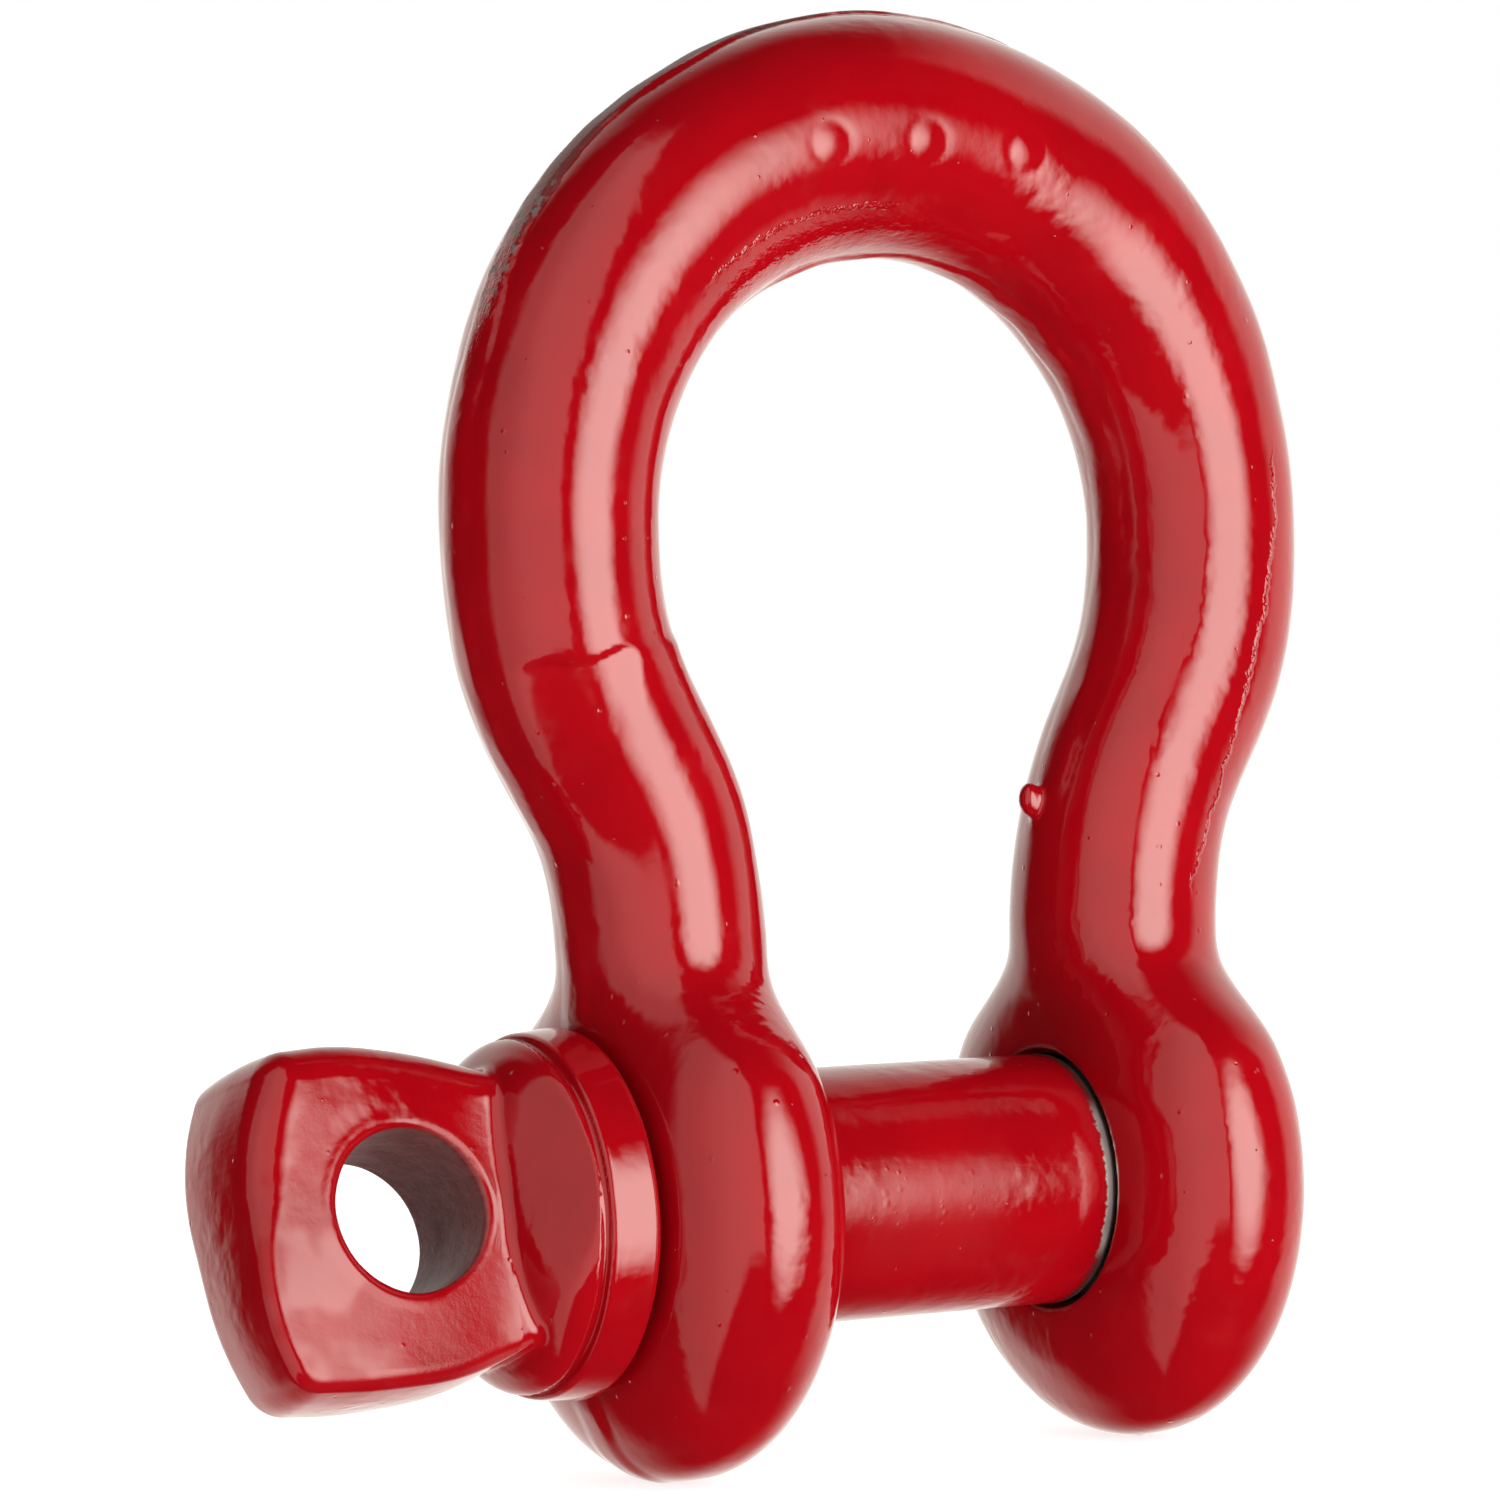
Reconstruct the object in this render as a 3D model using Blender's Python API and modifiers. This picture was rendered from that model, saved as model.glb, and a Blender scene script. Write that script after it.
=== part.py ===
"""Screw-pin bow shackle, 7/8 in (22 mm) bow with a 1 in (25.4 mm) pin.

Two forgings make the whole object: the bow with its two eyes, and the screw
pin. The pin passes a clear hole in one eye and screws into the other eye.

Frame: +Z up through the crown, the pin lies along X with its head at -X, the
bow lies in the XZ plane, and the origin is the middle of the underside of the
whole object's box. The parts are built about the pin axis and moved into that
frame at the end. Lengths below are millimetres.
"""

import math
from contextlib import contextmanager

import bmesh
import bpy
from mathutils import Matrix, Vector

MM = 0.001

# ---- eyes -------------------------------------------------------------------
GAP = 35.2              # between the two eyes, on the pin axis
EYE_T = 20.1            # thickness of an eye at its flat faces
EYE_R = 54.8 / 2
EYE_CROWN = 12.0        # half thickness the eye would have without its flats
EYE_POWER = 2.3         # how square the eye's section is
SPOT_R = 18.0           # spot-faced flats around both holes
SPOT_DEEP = 6.0         # length of the spot-face tools on the outer faces
FACE_IN = GAP / 2       # distance of an eye's inner and outer face from the middle
FACE_OUT = FACE_IN + EYE_T
EYE_X = (GAP + EYE_T) / 2

# ---- bar of the bow ---------------------------------------------------------
NECK_X, NECK_Z = 27.3, 24.3     # bar centre line at the neck, from the pin axis
BOW_R = 38.7                    # half width of the bow's centre line
BELLY_Z = 68.1                  # height of its widest point
CROWN_Z = 107.85                # height of its top
NECK_PULL = 0.9                 # how strongly the centre line rises from eye to neck
LEG_PULL = 1.658                # how strongly the leg swings from neck to belly
NECK_LEAN = 0.02                # outward slope of the centre line at the neck

BAR_NECK = (10.4, 10.8)         # half sizes of the bar: in the bow's plane, across it
BAR_BELLY = (10.85, 11.2)
BAR_CROWN = (12.1, 11.9)

UPRIGHT_Z = 14.0                # sections below this height lie level
EYE_TO_BAR = (7.0, 27.0)        # heights between which the eye's section becomes the bar's
EYE_BAR_BLEND = 10.0            # softness of the join of their widths

PIP_R = 2.05            # three round forging pips on the front (-Y) of the crown
PIP_H = 0.7
PIP_SINK = 0.25         # depth of a pip's centre below the bar's surface
PIPS = ((-12.0, 105.2), (-0.7, 106.2), (10.9, 105.6))       # (x, z)

# ---- holes ------------------------------------------------------------------
RIM_WIDEN = 2.0         # how far a hole cutter's 45 degree end cones open out
CLEAR_R = 13.3          # plain hole in the head-side eye
CLEAR_RIM = 0.9         # bevel of its rims

TAP_CREST_R = 12.65     # tapped hole: tops of its threads
TAP_DEPTH = 0.85        # depth of its thread grooves
TAP_START, TAP_STOP = 2.0, 1.2                      # thread's ends, in from the eye's faces
TAP_MOUTH = ((-1.3, 14.7), (0.5, 13.5), (1.3, 13.4))  # (x past the inner face, radius)
TAP_EXIT = ((-0.8, 0.0), (1.2, 2.0))                # (x past the outer face, radius over crest)

# ---- pin: shank, collar and thread ------------------------------------------
PIN_R = 25.4 / 2        # plain shank of the pin
COLLAR_R = 37.0 / 2
COLLAR_X0, COLLAR_X1 = -38.45, -44.0    # its face to the eye, its face to the head
COLLAR_EDGE = 0.8
SHANK_END = 17.3        # where the plain shank ends, just short of the thread-side eye
SHANK_EDGE = 0.4
TAIL_LAP = 2.0          # how far the tail runs back inside the shank
RELIEF_R = 10.9
RELIEF_GAP = 0.3        # between the relief's last ring and the thread

PITCH = 25.4 / 8
THREAD_X0, THREAD_X1 = 18.9, 37.6
THREAD_CREST_R = 12.4
THREAD_ROOT_R = 10.9
THREAD_CLIP = 1.25      # over 1 flattens crests and roots
THREAD_FADE = 1.6       # length over which a thread fades at each end
TIP_X = 39.5
TIP_CHAMFER = 1.6

# ---- pin: head --------------------------------------------------------------
DOME = (                # (x from the collar's head-side face, radius)
    (2.0, 0.0), (2.0, 16.8), (-0.3, 17.2), (-1.6, 16.9), (-3.0, 15.7),
    (-4.2, 13.8), (-5.2, 11.2), (-5.9, 7.0), (-6.1, 0.0))
TAB_T = 16.1            # thickness of the flat head
TAB_TURN = -16.6        # degrees the head stands turned about the pin's axis
TAB_LAP = 1.7           # how far the flat head starts inside the collar
TAB_SIDE_L = 24.0       # length of its widening side
TAB_NECK_V = 11.9       # half width at the neck
TAB_WIDE_V = 17.2       # half width where the sides end
TAB_CORNER_R = 4.3
TAB_CORNER_X = -70.0    # centre of the rounded corners
TAB_CORNER_SWEEP = 70   # degrees
TAB_END_X = -76.9
TAB_EDGE = 2.8          # radius of the soft edge on both faces
CREASE_X = -49.6        # where the head's flat meets its sloped shoulder
SHOULDER_SLOPE = 60.0   # degrees
SHOULDER_BLOCK = (30.0, 60.0, 30.0)     # size of the block that cuts a shoulder
CROSS_X = -60.1         # cross hole in the head
CROSS_R = 8.2
CROSS_RIM = 0.8

# ---- resolution -------------------------------------------------------------
BAR_SEG = 28
UNDER_STEPS = 9         # under the pin axis
NECK_STEPS, LEG_STEPS, ARCH_STEPS = 10, 13, 14      # along half the centre line
SPIN = 40
CROSS_SPIN = 32
SPOT_SEG = 48
PIP_SEG, PIP_RINGS = 12, 8
THREAD_SEG = 28
THREAD_RINGS = 6        # rings to one pitch
TAB_SIDE_STEPS, TAB_CORNER_STEPS, TAB_END_STEPS, TAB_EDGE_STEPS = 8, 5, 4, 3

# ---- frame ------------------------------------------------------------------
BOW_OUT = BOW_R + BAR_BELLY[0]
FRAME_SHIFT = Vector((-(TAB_END_X + BOW_OUT) / 2 * MM, 0.0, EYE_R * MM))
HEAD_TURN = Matrix.Rotation(math.radians(TAB_TURN), 4, "X")


# ---- scene ------------------------------------------------------------------
def clear_scene():
    for o in list(bpy.data.objects):
        bpy.data.objects.remove(o, do_unlink=True)


def collection(name):
    new = bpy.data.collections.new(name)
    bpy.context.scene.collection.children.link(new)
    return new


def red_paint(name, roughness):
    """Glossy red under a clear coat."""
    paint = bpy.data.materials.new(name)
    paint.use_nodes = True
    inputs = paint.node_tree.nodes["Principled BSDF"].inputs
    inputs["Base Color"].default_value = (0.50, 0.004, 0.009, 1.0)
    inputs["Roughness"].default_value = roughness
    inputs["Coat Weight"].default_value = 1.0
    return paint


# ---- mesh tools -------------------------------------------------------------
@contextmanager
def editing(mesh):
    bm = bmesh.new()
    bm.from_mesh(mesh)
    yield bm
    bm.to_mesh(mesh)
    bm.free()


def linked(name, mesh, where):
    o = bpy.data.objects.new(name, mesh)
    where.objects.link(o)
    return o


def shift(x, y=0.0, z=0.0):
    """A move by millimetres."""
    return Matrix.Translation((x * MM, y * MM, z * MM))


def scale(x, y, z):
    """Sizes a unit shape in millimetres."""
    return Matrix.Diagonal((x * MM, y * MM, z * MM, 1.0))


def primitive(name, create, matrix, where, **settings):
    """An object from one of bmesh's create operators, placed by the matrix."""
    mesh = bpy.data.meshes.new(name)
    with editing(mesh) as bm:
        create(bm, **settings)
    mesh.transform(matrix)
    return linked(name, mesh, where)


def loft(name, rings, where, poles=()):
    """Joins rings of equal length. The ends close on two poles, or on flat faces."""
    n = len(rings[0])
    verts = [point for ring in rings for point in ring]
    faces = []
    for k in range(len(rings) - 1):
        for i in range(n):
            j = (i + 1) % n
            faces.append((k * n + i, k * n + j, (k + 1) * n + j, (k + 1) * n + i))
    last = (len(rings) - 1) * n
    if poles:
        first_pole = len(verts)
        verts += poles
        faces += [(first_pole, (i + 1) % n, i) for i in range(n)]
        faces += [(first_pole + 1, last + i, last + (i + 1) % n) for i in range(n)]
    else:
        faces += [tuple(range(n)), tuple(range(last, last + n))]
    mesh = bpy.data.meshes.new(name)
    mesh.from_pydata([(x * MM, y * MM, z * MM) for x, y, z in verts], [], faces)
    with editing(mesh) as bm:
        bmesh.ops.recalc_face_normals(bm, faces=bm.faces)
    return linked(name, mesh, where)


def turned(name, profile, where, steps=SPIN):
    """A body turned about X. The profile holds (x, radius) from axis to axis."""
    mesh = bpy.data.meshes.new(name)
    mesh.from_pydata([(r * MM, 0.0, x * MM) for x, r in profile], [],
                     [(i, i + 1) for i in range(len(profile) - 1)])
    o = linked(name, mesh, where)
    screw = o.modifiers.new("Screw", "SCREW")
    screw.axis = "Z"
    screw.steps = screw.render_steps = steps
    screw.use_merge_vertices = True
    screw.merge_threshold = 0.00001
    screw.use_normal_calculate = True
    o.matrix_world = Matrix.Rotation(math.radians(90), 4, "Y")
    return baked(o, where)


def baked(o, where):
    """The object's evaluated mesh in world space, as a plain object of the same name."""
    bpy.context.view_layer.update()
    depsgraph = bpy.context.evaluated_depsgraph_get()
    mesh = bpy.data.meshes.new_from_object(o.evaluated_get(depsgraph))
    mesh.transform(o.matrix_world)
    with editing(mesh) as bm:
        bmesh.ops.remove_doubles(bm, verts=bm.verts, dist=0.0000005)
        bmesh.ops.recalc_face_normals(bm, faces=bm.faces)
    name = o.name
    bpy.data.objects.remove(o, do_unlink=True)
    return linked(name, mesh, where)


def boolean(target, tool, operation="DIFFERENCE"):
    """Adds the modifier, and keeps its tool out of the render."""
    tool.hide_render = True
    tool.display_type = "WIRE"
    modifier = target.modifiers.new(f"{operation.title()} {tool.name}", "BOOLEAN")
    modifier.operation = operation
    modifier.object = tool
    modifier.solver = "EXACT"


def hole_cutter(name, x_high, x_low, radius, rim, where, steps=SPIN):
    """Cuts a hole between two flats and bevels its rims; its end cones run on past both."""
    past = RIM_WIDEN - rim
    wide = radius + RIM_WIDEN
    return turned(name, [
        (x_high + past, 0), (x_high + past, wide), (x_high - rim, radius),
        (x_low + rim, radius), (x_low - past, wide), (x_low - past, 0)], where, steps)


def smoothstep(a, b, x):
    t = min(max((x - a) / (b - a), 0.0), 1.0)
    return t * t * (3 - 2 * t)


def soft_max(a, b, blend):
    h = max(blend - abs(a - b), 0.0) / blend
    return max(a, b) + h * h * blend / 4


def hermite(start, start_pull, end, end_pull, t):
    weights = (2 * t**3 - 3 * t**2 + 1, t**3 - 2 * t**2 + t, -2 * t**3 + 3 * t**2, t**3 - t**2)
    return tuple(sum(w * value for w, value in zip(weights, values))
                 for values in zip(start, start_pull, end, end_pull))


# ---- threads ----------------------------------------------------------------
def thread_wave(x, turn, start, end):
    """0 at the root and 1 at the crest of a right-hand thread, fading out at both ends."""
    wave = math.cos(2 * math.pi * (x / PITCH - turn))
    wave = max(-1.0, min(1.0, wave * THREAD_CLIP))
    fade_in = smoothstep(start, start + THREAD_FADE, x)
    fade_out = 1 - smoothstep(end - THREAD_FADE, end, x)
    return (wave + 1) / 2 * fade_in * fade_out


def round_ring(x, radius_at):
    """A ring about the pin axis; radius_at gives the radius at a fraction of a turn."""
    ring = []
    for i in range(THREAD_SEG):
        turn = i / THREAD_SEG
        angle = 2 * math.pi * turn
        r = radius_at(turn)
        ring.append((x, r * math.cos(angle), r * math.sin(angle)))
    return ring


def circle_ring(x, r):
    return round_ring(x, lambda turn: r)


def thread_rings(x0, x1, low, high):
    n = round((x1 - x0) / PITCH * THREAD_RINGS)
    rings = []
    for k in range(n + 1):
        x = x0 + (x1 - x0) * k / n
        rings.append(round_ring(
            x, lambda turn: low + (high - low) * thread_wave(x, turn, x0, x1)))
    return rings


# ---- bow --------------------------------------------------------------------
def eye_half_thickness(rho):
    u = min(rho / EYE_R, 1.0)
    return EYE_CROWN * (1 - u ** EYE_POWER) ** (1 / EYE_POWER)


def centre_line():
    """Half of the bow's centre line, from the thread-side eye up to the crown, as (x, z)."""
    neck_pull = NECK_Z * NECK_PULL
    leg_pull = (BELLY_Z - NECK_Z) * LEG_PULL
    neck = [hermite((EYE_X, 0), (0, neck_pull),
                    (NECK_X, NECK_Z), (NECK_LEAN * NECK_Z, neck_pull), i / NECK_STEPS)
            for i in range(NECK_STEPS)]
    leg = [hermite((NECK_X, NECK_Z), (NECK_LEAN * leg_pull, leg_pull),
                   (BOW_R, BELLY_Z), (0, leg_pull), i / LEG_STEPS)
           for i in range(LEG_STEPS)]
    arch = []
    for i in range(ARCH_STEPS + 1):
        angle = i / ARCH_STEPS * math.pi / 2
        arch.append((BOW_R * math.cos(angle),
                     BELLY_Z + (CROWN_Z - BELLY_Z) * math.sin(angle)))
    return neck + leg + arch


def bar_size(z):
    """Half sizes of the bar at a height: in the bow's plane, and across it."""
    if z < BELLY_Z:
        t = smoothstep(NECK_Z, BELLY_Z, z)
        low, high = BAR_NECK, BAR_BELLY
    else:
        t = smoothstep(BELLY_Z, CROWN_Z, z)
        low, high = BAR_BELLY, BAR_CROWN
    return tuple(a + (b - a) * t for a, b in zip(low, high))


def bow_section(cx, cz, tx, tz):
    """One closed section of the bow about (cx, cz), square to the direction (tx, tz)."""
    bar_in_plane, bar_across = bar_size(cz)
    eye_across = math.sqrt(max(EYE_R**2 - cz**2, 0.0))
    across = eye_across if cz < 0 else soft_max(eye_across, bar_across, EYE_BAR_BLEND)
    bar_share = smoothstep(*EYE_TO_BAR, cz)
    ring = []
    for i in range(BAR_SEG):
        angle = 2 * math.pi * i / BAR_SEG
        s, c = math.sin(angle), math.cos(angle)
        if abs(c) < 1e-9:
            eye = 0.0       # the front and back points lie on the eye's middle plane
        else:
            eye = math.copysign(eye_half_thickness(math.hypot(s * eye_across, cz)), c)
        out = eye * (1 - bar_share) + bar_in_plane * c * bar_share
        ring.append((cx + out * tz, across * s, cz - out * tx))
    return ring


def bow_body(where):
    rings = []
    for i in range(1, UNDER_STEPS):         # underside of the eye, from its pole
        cz = -EYE_R * math.cos(i / UNDER_STEPS * math.pi / 2)
        rings.append(bow_section(EYE_X, cz, 0.0, 1.0))
    half = centre_line()
    past_crown = (-half[-2][0], half[-2][1])
    padded = [half[0], *half, past_crown]
    for (x0, z0), (x, z), (x1, z1) in zip(padded, half, padded[2:]):
        if z < UPRIGHT_Z:
            tx, tz = 0.0, 1.0
        else:
            length = math.hypot(x1 - x0, z1 - z0)
            tx, tz = (x1 - x0) / length, (z1 - z0) / length
        rings.append(bow_section(x, z, tx, tz))
    # the other half is the mirror image, walked back down
    left = [[(-x, y, z) for x, y, z in ring] for ring in reversed(rings[:-1])]
    return loft("bow", rings + left, where, [(EYE_X, 0, -EYE_R), (-EYE_X, 0, -EYE_R)])


def spot_face(name, x0, x1, where):
    """A plain cylinder along X that leaves a flat at each of its ends."""
    matrix = shift((x0 + x1) / 2) @ Matrix.Rotation(math.radians(90), 4, "Y")
    return primitive(name, bmesh.ops.create_cone, matrix, where, cap_ends=True,
                     segments=SPOT_SEG, radius1=SPOT_R * MM, radius2=SPOT_R * MM,
                     depth=(x1 - x0) * MM)


def tapped_hole(where):
    """Widened mouth at the inner face, thread, plain exit at the outer face."""
    rings = [circle_ring(FACE_IN + x, r) for x, r in TAP_MOUTH]
    rings += thread_rings(FACE_IN + TAP_START, FACE_OUT - TAP_STOP,
                          TAP_CREST_R, TAP_CREST_R + TAP_DEPTH)
    rings += [circle_ring(FACE_OUT + x, TAP_CREST_R + wider) for x, wider in TAP_EXIT]
    return loft("cut_tapped_hole", rings, where)


def pip(name, x, z, where):
    """A flattened ball, sunk a little into the front surface of the crown."""
    rise = (z - BELLY_Z) / math.sqrt(1 - (x / BOW_R) ** 2)
    off_centre = rise - (CROWN_Z - BELLY_Z)     # from the bar's centre line
    y = -BAR_CROWN[1] * math.sqrt(1 - (off_centre / BAR_CROWN[0]) ** 2)
    matrix = shift(x, y + PIP_SINK, z) @ scale(PIP_R, PIP_H + PIP_SINK, PIP_R)
    return primitive(name, bmesh.ops.create_uvsphere, matrix, where,
                     u_segments=PIP_SEG, v_segments=PIP_RINGS, radius=1.0)


def make_bow(parts, tools):
    bow = bow_body(parts)
    # flats of the eyes: one spot-face tool between them, one against each outer face
    for name, x0, x1 in (("cut_between_eyes", -FACE_IN, FACE_IN),
                         ("cut_head_face", -FACE_OUT - SPOT_DEEP, -FACE_OUT),
                         ("cut_thread_face", FACE_OUT, FACE_OUT + SPOT_DEEP)):
        boolean(bow, spot_face(name, x0, x1, tools))
    boolean(bow, hole_cutter("cut_clear_hole", -FACE_IN, -FACE_OUT, CLEAR_R, CLEAR_RIM, tools))
    boolean(bow, tapped_hole(tools))
    for k, (x, z) in enumerate(PIPS, start=1):
        boolean(bow, pip(f"pip_{k}", x, z, tools), "UNION")
    bow.data.materials.append(red_paint("red_paint", roughness=0.16))
    return bow


# ---- screw pin --------------------------------------------------------------
def shank_and_collar(where):
    edge = COLLAR_EDGE
    return turned("screw_pin", [
        (SHANK_END, 0), (SHANK_END, PIN_R - SHANK_EDGE), (SHANK_END - SHANK_EDGE, PIN_R),
        (COLLAR_X0, PIN_R), (COLLAR_X0, COLLAR_R - edge), (COLLAR_X0 - edge, COLLAR_R),
        (COLLAR_X1 + edge, COLLAR_R), (COLLAR_X1, COLLAR_R - edge), (COLLAR_X1, 0)], where)


def threaded_tail(where):
    """Relief, thread and chamfered tip, with the relief carried back into the shank."""
    rings = [circle_ring(SHANK_END - TAIL_LAP, RELIEF_R),
             circle_ring(THREAD_X0 - RELIEF_GAP, RELIEF_R)]
    rings += thread_rings(THREAD_X0, THREAD_X1, THREAD_ROOT_R, THREAD_CREST_R)
    rings += [circle_ring(TIP_X - TIP_CHAMFER * 0.5, THREAD_ROOT_R),
              circle_ring(TIP_X, THREAD_ROOT_R - TIP_CHAMFER * 0.8)]
    return loft("pin_tail", rings, where)


def shoulder_block(name, side, where):
    """A block that starts at the crease and leans over the neck; side is -1 front, 1 back."""
    # built with its cutting face down and z across the head's thickness, then laid over
    lean = Matrix.Rotation(math.radians(-SHOULDER_SLOPE), 4, "Y")
    lay_over = Matrix.Rotation(math.radians(-90 * side), 4, "X")
    matrix = (HEAD_TURN @ lay_over @ shift(CREASE_X, z=TAB_T / 2) @ lean
              @ shift(0, z=SHOULDER_BLOCK[2] / 2) @ scale(*SHOULDER_BLOCK))
    return primitive(name, bmesh.ops.create_cube, matrix, where, size=1.0)


def domed_neck(where):
    """Dome behind the collar, with a sloped shoulder cut on both sides."""
    dome = turned("pin_dome", [(COLLAR_X1 + x, r) for x, r in DOME], where)
    for name, side in (("cut_shoulder_front", -1), ("cut_shoulder_back", 1)):
        boolean(dome, shoulder_block(name, side, where))
    return dome


def tab_outline():
    """Outline of the flat head as (x, v), v across it: from +v at the neck round to -v."""
    upper = []
    for i in range(TAB_SIDE_STEPS + 1):         # side, from the neck outward
        t = i / TAB_SIDE_STEPS
        upper.append((COLLAR_X1 + TAB_LAP - t * TAB_SIDE_L,
                      TAB_NECK_V + (TAB_WIDE_V - TAB_NECK_V) * math.sin(t * math.pi / 2)))
    corner_v = TAB_WIDE_V - TAB_CORNER_R
    for i in range(1, TAB_CORNER_STEPS + 1):    # rounded corner
        angle = math.radians(90 + i * TAB_CORNER_SWEEP / TAB_CORNER_STEPS)
        upper.append((TAB_CORNER_X + TAB_CORNER_R * math.cos(angle),
                      corner_v + TAB_CORNER_R * math.sin(angle)))
    x0, v0 = upper[-1]
    for i in range(1, TAB_END_STEPS + 1):       # shallow arc of the end
        share = 1 - i / TAB_END_STEPS
        upper.append((TAB_END_X + (x0 - TAB_END_X) * share ** 2, v0 * share))
    return upper + [(x, -v) for x, v in reversed(upper[:-1])]


def edge_layers(half, radius, steps):
    """(height, inset) of each layer through a plate whose rim is rounded on both faces."""
    top = []
    for i in range(steps + 1):
        angle = i / steps * math.pi / 2
        top.append((half - radius + radius * math.sin(angle),
                    radius - radius * math.cos(angle)))
    return [(-height, inset) for height, inset in reversed(top)] + top


def drawn_in(outline, inset):
    """The outline moved inward; its two ends at the neck move straight across."""
    (x_first, v_first), (x_last, v_last) = outline[0], outline[-1]
    ring = [(x_first, v_first - inset)]
    for (x0, v0), (x, v), (x1, v1) in zip(outline, outline[1:], outline[2:]):
        dx, dv = x1 - x0, v1 - v0
        length = math.hypot(dx, dv)
        ring.append((x - dv / length * inset, v + dx / length * inset))
    ring.append((x_last, v_last + inset))
    return ring


def flat_head(where):
    """Layers of the outline, drawn in towards both faces for the soft edge."""
    outline = tab_outline()
    rings = [[tuple(HEAD_TURN @ Vector((x, -height, v))) for x, v in drawn_in(outline, inset)]
             for height, inset in edge_layers(TAB_T / 2, TAB_EDGE, TAB_EDGE_STEPS)]
    return loft("pin_tab", rings, where)


def cross_hole(where):
    hole = hole_cutter("cut_cross_hole", TAB_T / 2, -TAB_T / 2, CROSS_R, CROSS_RIM,
                       where, CROSS_SPIN)
    hole.data.transform(HEAD_TURN @ shift(CROSS_X) @ Matrix.Rotation(math.radians(-90), 4, "Z"))
    return hole


def make_pin(parts, tools):
    pin = shank_and_collar(parts)
    for build in (threaded_tail, domed_neck, flat_head):
        boolean(pin, build(tools), "UNION")
    boolean(pin, cross_hole(tools))
    pin.data.materials.append(red_paint("red_paint_pin", roughness=0.2))
    return pin


def finish(o, parts, origin):
    """Bakes the modifiers, moves the part into the frame with its origin there, smooths it."""
    new = baked(o, parts)
    new.data.transform(Matrix.Translation(FRAME_SHIFT - origin))
    new.location = origin
    with editing(new.data) as bm:
        bmesh.ops.dissolve_degenerate(bm, edges=bm.edges, dist=0.00002)
    new.data.shade_smooth()
    new.data.set_sharp_from_angle(angle=math.radians(35))


def main():
    clear_scene()
    parts = collection("screw_pin_bow_shackle")
    tools = collection("cutters")
    bow = make_bow(parts, tools)
    pin = make_pin(parts, tools)
    finish(bow, parts, Vector((0.0, 0.0, 0.0)))
    # the pin's origin stands on the axis it slides along
    finish(pin, parts, FRAME_SHIFT)


main()
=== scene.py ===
"""Screw-pin bow shackle: a forged bow and its screw pin, in thick glossy red enamel.

The forgings are smooth implicit forms, negative inside, meshed finely. Lengths in them are
millimetres in the pin's frame: X along the pin from its head (-X) to its thread (+X), the front
toward -Y, the bow rising along +Z, and the origin on the pin's axis midway between the eyes.
"""
import itertools
import math

import bpy
import numpy as np
from mathutils import Matrix, Vector


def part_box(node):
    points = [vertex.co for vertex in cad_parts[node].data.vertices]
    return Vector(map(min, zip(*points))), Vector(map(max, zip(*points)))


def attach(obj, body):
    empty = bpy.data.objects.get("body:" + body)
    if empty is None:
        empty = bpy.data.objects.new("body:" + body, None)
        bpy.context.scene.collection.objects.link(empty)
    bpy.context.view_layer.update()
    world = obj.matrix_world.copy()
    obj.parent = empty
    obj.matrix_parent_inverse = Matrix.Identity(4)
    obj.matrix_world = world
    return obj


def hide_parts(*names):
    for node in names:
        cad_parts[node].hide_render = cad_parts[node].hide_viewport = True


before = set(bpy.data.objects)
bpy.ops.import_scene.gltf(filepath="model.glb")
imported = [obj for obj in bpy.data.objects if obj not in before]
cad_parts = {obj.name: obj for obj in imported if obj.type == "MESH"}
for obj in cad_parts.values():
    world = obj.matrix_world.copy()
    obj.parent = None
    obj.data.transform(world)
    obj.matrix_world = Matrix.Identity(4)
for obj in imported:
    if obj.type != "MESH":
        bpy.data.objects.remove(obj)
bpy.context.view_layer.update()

MM = 0.001
BOW_STEP, PIN_STEP = ((0.5, 0.34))    # meshing cells

# ---- dimensions, mm ----------------------------------------------------------
# eyes: gap between them, thickness at the flats, radius, half thickness of the lens
GAP, EYE_T, EYE_R, EYE_CROWN = 35.2, 20.1, 27.4, 12.0
EYE_X = (GAP + EYE_T) / 2
FLAT_R = 18.0
LENS_POWER = 2.3              # roundness of the eye and of the pin's dome: 2 is an ellipse

# centre line of the bow, and how strongly its leg is pulled straight
NECK_X, NECK_Z = 27.3, 24.3
BELLY_X, BELLY_Z = 38.7, 68.1
CROWN_Z, LEG_PULL = 107.85, 1.658

# half sizes of the bar: in the bow's plane, across it
BAR_NECK, BAR_BELLY, BAR_CROWN = (10.4, 10.8), (10.85, 11.2), (12.1, 11.9)

# holes of the eyes: plain at -X, threaded with a wider mouth at +X
CLEAR_R, TAP_DEPTH = 13.3, 0.85
MOUTH_R, MOUTH_DROP, MOUTH_L = 13.35, 0.70, 1.3
PITCH = 25.4 / 8
DRIP = (17.75, 0.4, 39.4)
PIPS = ((-12.8, 105.4), (-1.4, 105.9), (10.6, 105.2))             # x, z

# pin
PIN_R, SHANK_END = 12.7, 17.3
COLLAR_R, COLLAR_X0, COLLAR_X1 = 18.5, -38.45, -44.0
DOME_L, DOME_R = 6.2, 17.6
THREAD_X0, THREAD_X1, TIP_X = 18.9, 37.6, 39.5
THREAD_CREST_R, THREAD_ROOT_R = 12.4, 10.9

# flat head of the pin: thickness, turn about the pin, foot and slope of its shoulder, end
TAB_T, TAB_TURN = 16.1, math.radians(16.6)
CREASE_X, SLOPE = -49.6, math.radians(60)
TAB_END_X, TAB_EDGE = -76.9, 2.5
HOLE_X, HOLE_R = -59.9, 8.05
TURN_COS, TURN_SIN = math.cos(TAB_TURN), math.sin(TAB_TURN)

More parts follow.
